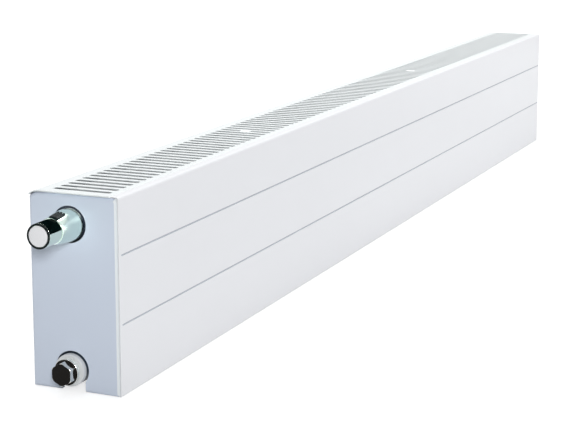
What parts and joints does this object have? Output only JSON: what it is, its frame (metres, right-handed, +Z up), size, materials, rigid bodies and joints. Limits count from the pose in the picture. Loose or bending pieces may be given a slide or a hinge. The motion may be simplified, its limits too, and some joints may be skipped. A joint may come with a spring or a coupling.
{
  "type": "low panel radiator",
  "caption": "Long low double-panel steel radiator with a smooth grooved front cover, slotted top grille, side valve with thermostatic head, and plugged ports.",
  "frame": {"origin": "bottom centre of the whole radiator, thermostatic head and air vent included", "axes": "+X along the length away from the thermostatic head, +Y from the front cover to the wall, +Z up"},
  "size_m": [1.685, 0.1, 0.2],
  "materials": {
    "front_enamel": "smooth white enamel, silky gloss",
    "side_enamel": "smooth white enamel, silky gloss",
    "grille_enamel": "smooth white enamel",
    "panel_enamel": "white enamel over pressed steel",
    "fin_enamel": "thin white enamel",
    "chrome": "mirror chrome",
    "satin_chrome": "soft chrome",
    "nickel": "dark nickel plate",
    "black_gloss": "gloss black",
    "white_plastic": "white moulded plastic",
    "brass": "turned brass",
    "spring_steel": "bright steel",
    "seal_rubber": "matte rubber"
  },
  "bodies": {
    "radiator": {"front_cover": "front_enamel", "top_grille": "grille_enamel", "front_water_panel": "panel_enamel", "rear_water_panel": "panel_enamel", "front_convector": "fin_enamel", "rear_convector": "fin_enamel", "spacer_bracket_1": "panel_enamel", "spacer_bracket_2": "panel_enamel", "grille_clip_1": "white_plastic", "grille_clip_2": "white_plastic", "upper_left_lug": "panel_enamel", "lower_left_lug": "panel_enamel", "upper_right_lug": "panel_enamel", "lower_right_lug": "panel_enamel", "left_side_panel": "side_enamel", "right_side_panel": "side_enamel", "upper_left_tee": "panel_enamel", "lower_left_tee": "panel_enamel", "upper_right_tee": "panel_enamel", "lower_right_tee": "panel_enamel", "valve_insert": "brass", "gland_nut": "brass", "valve_spring": "spring_steel", "union_nut": "nickel", "head_bell": "satin_chrome", "setting_index": "black_gloss", "left_blank_plug": "nickel", "left_plug_seal": "seal_rubber", "right_blank_plug": "nickel", "right_plug_seal": "seal_rubber", "vent_plug": "nickel", "vent_seal": "seal_rubber"},
    "grip": {"grip_cylinder": "chrome", "end_ring": "black_gloss", "end_cap": "white_plastic"},
    "sensor": {"sensor_capsule": "white_plastic", "sensor_pin": "white_plastic", "relief_spring": "spring_steel"},
    "spindle": {"valve_spindle": "spring_steel"},
    "nozzle": {"vent_nozzle": "white_plastic"},
    "bleed": {"bleed_screw": "nickel"}
  },
  "joints": [
    {"name": "grip_turn", "type": "hinge", "parent": "radiator", "child": "grip", "pos_m": [-0.82, 0.0045, 0.169], "axis": [-1, 0, 0], "range_deg": [-160, 160]},
    {"name": "sensor_slide", "type": "slide", "parent": "radiator", "child": "sensor", "axis": [-1, 0, 0], "range_m": [-0.0013, 0.0013], "deforming": ["relief_spring"]},
    {"name": "spindle_slide", "type": "slide", "parent": "radiator", "child": "spindle", "axis": [-1, 0, 0], "range_m": [-0.0013, 0.0013], "deforming": ["valve_spring"]},
    {"name": "nozzle_turn", "type": "hinge", "parent": "radiator", "child": "nozzle", "pos_m": [0.837, 0.0045, 0.169], "axis": [1, 0, 0], "continuous": true},
    {"name": "bleed_turn", "type": "hinge", "parent": "radiator", "child": "bleed", "pos_m": [0.837, 0.0045, 0.169], "axis": [1, 0, 0], "range_deg": [0, 360]}
  ],
  "couplings": [
    {"joint": "sensor_slide", "follows": "grip_turn", "m_per_rad": 0.000447},
    {"joint": "spindle_slide", "follows": "grip_turn", "m_per_rad": 0.000447}
  ]
}
